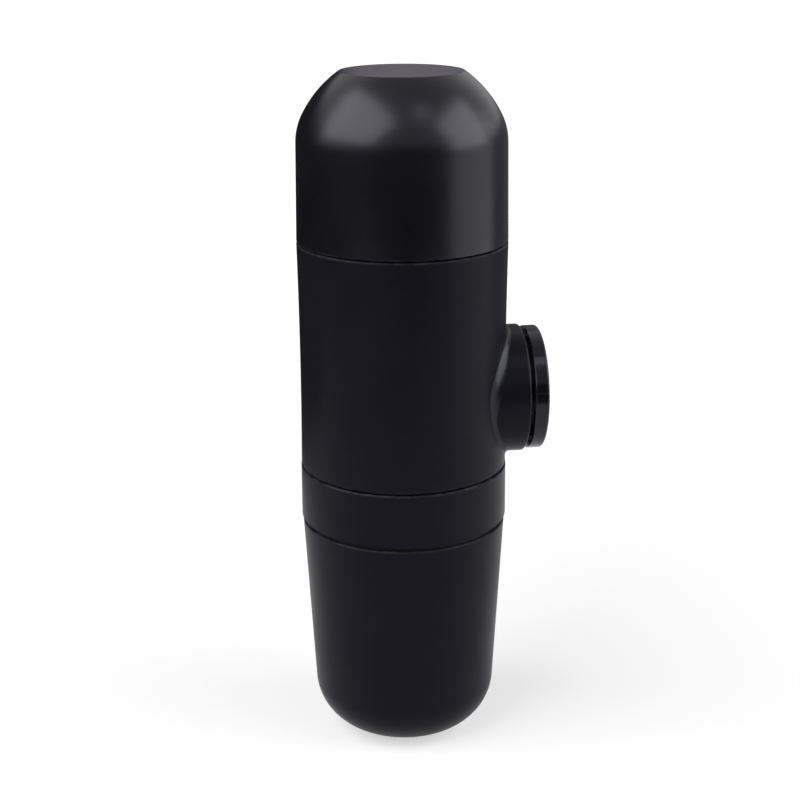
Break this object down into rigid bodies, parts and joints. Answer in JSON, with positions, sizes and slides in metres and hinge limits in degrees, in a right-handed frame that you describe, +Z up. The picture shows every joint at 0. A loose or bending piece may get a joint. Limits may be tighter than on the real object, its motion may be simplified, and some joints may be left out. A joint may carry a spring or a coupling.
{
  "type": "handheld manual espresso maker",
  "caption": "Slim travel espresso maker: water tank, hand-pumped body with a side plunger, screw-on outlet head with filter basket, and a cup that closes its foot.",
  "frame": {"origin": "centre of the cup's base, on the axis of cup, outlet head, body and tank", "axes": "+Z up the axis from the cup to the tank, +X along the side plunger, pointing out of the body"},
  "size_m": [0.0679, 0.0586, 0.1916],
  "materials": {
    "black_shell": "matte moulded black plastic with a fine grain",
    "black_gloss": "satin to glossy moulded black plastic",
    "tank_plastic": "matte moulded black plastic with a fine grain",
    "inner_plastic": "moulded glass-filled dark grey plastic",
    "seal_rubber": "soft black silicone rubber",
    "gasket_rubber": "brick-red silicone gasket",
    "steel": "brushed stainless steel",
    "polished_steel": "polished stainless steel",
    "spring_steel": "drawn spring wire",
    "screw_steel": "zinc-plated steel"
  },
  "bodies": {
    "body": {"body_shell": "black_shell", "top_deck": "inner_plastic", "intake_strainer": "steel", "deck_screws": "screw_steel", "pump_block": "inner_plastic", "pump_cylinder": "polished_steel", "cylinder_seal": "seal_rubber", "rod_guide": "inner_plastic", "intake_valve_seat": "inner_plastic", "intake_valve_spring": "spring_steel", "outlet_valve_spring": "spring_steel", "outlet_valve_retainer": "inner_plastic", "port_seals": "seal_rubber", "brew_collar": "inner_plastic", "collar_screws": "screw_steel", "shower_screen": "steel", "screen_screw": "screw_steel", "group_gasket": "gasket_rubber", "return_spring": "spring_steel"},
    "tank_ring": {"tank_seal": "seal_rubber"},
    "tank": {"water_tank": "tank_plastic"},
    "head_ring": {"basket_seal": "gasket_rubber"},
    "head": {"outlet_head": "black_shell", "outlet_spout": "seal_rubber"},
    "basket": {"filter_basket": "steel"},
    "scoop": {"coffee_scoop": "inner_plastic"},
    "cup_ring": {"cup_gasket": "seal_rubber"},
    "cup": {"cup": "black_shell"},
    "plunger": {"plunger": "inner_plastic", "plunger_seals": "seal_rubber"},
    "knob": {"knob_sleeve": "black_gloss", "knob_cap": "black_gloss", "knob_inlay": "black_gloss", "knob_screw": "screw_steel"},
    "intake_ball": {"intake_valve_ball": "polished_steel"},
    "outlet_ball": {"outlet_valve_ball": "polished_steel"}
  },
  "joints": [
    {"name": "tank_rise", "type": "slide", "parent": "body", "child": "tank_ring", "axis": [0, 0, 1], "range_m": [0, 0.012]},
    {"name": "tank_turn", "type": "hinge", "parent": "tank_ring", "child": "tank", "pos_m": [0, 0, 0.146], "axis": [0, 0, 1], "range_deg": [0, 360]},
    {"name": "head_drop", "type": "slide", "parent": "body", "child": "head_ring", "axis": [0, 0, -1], "range_m": [0, 0.022]},
    {"name": "head_turn", "type": "hinge", "parent": "head_ring", "child": "head", "pos_m": [0, 0, 0.082], "axis": [0, 0, -1], "range_deg": [0, 660]},
    {"name": "basket_lift", "type": "slide", "parent": "head", "child": "basket", "axis": [0, 0, 1], "range_m": [0, 0.014]},
    {"name": "scoop_lift", "type": "slide", "parent": "basket", "child": "scoop", "axis": [0, 0, 1], "range_m": [0, 0.0075]},
    {"name": "cup_drop", "type": "slide", "parent": "head", "child": "cup_ring", "axis": [0, 0, -1], "range_m": [0, 0.022]},
    {"name": "cup_turn", "type": "hinge", "parent": "cup_ring", "child": "cup", "pos_m": [0, 0, 0.065], "axis": [0, 0, -1], "range_deg": [0, 660]},
    {"name": "plunger_stroke", "type": "slide", "parent": "body", "child": "plunger", "axis": [1, 0, 0], "range_m": [0, 0.014], "deforming": ["return_spring"]},
    {"name": "knob_twist", "type": "hinge", "parent": "plunger", "child": "knob", "pos_m": [0.0366, 0, 0.10195], "axis": [1, 0, 0], "range_deg": [0, 45]},
    {"name": "intake_valve_lift", "type": "slide", "parent": "body", "child": "intake_ball", "axis": [0, 0, -1], "range_m": [0, 0.001], "stiffness_N_per_m": 50, "springref_m": -0.002, "deforming": ["intake_valve_spring"]},
    {"name": "outlet_valve_lift", "type": "slide", "parent": "body", "child": "outlet_ball", "axis": [0, 0, -1], "range_m": [0, 0.001], "stiffness_N_per_m": 50, "springref_m": -0.002, "deforming": ["outlet_valve_spring"]}
  ],
  "couplings": [
    {"joint": "tank_rise", "follows": "tank_turn", "m_per_rad": 0.0019099},
    {"joint": "head_drop", "follows": "head_turn", "m_per_rad": 0.0019099},
    {"joint": "basket_lift", "follows": "head_turn", "m_per_rad": 0.0012145},
    {"joint": "scoop_lift", "follows": "head_turn", "m_per_rad": 0.00065022},
    {"joint": "cup_drop", "follows": "cup_turn", "m_per_rad": 0.0019099}
  ]
}
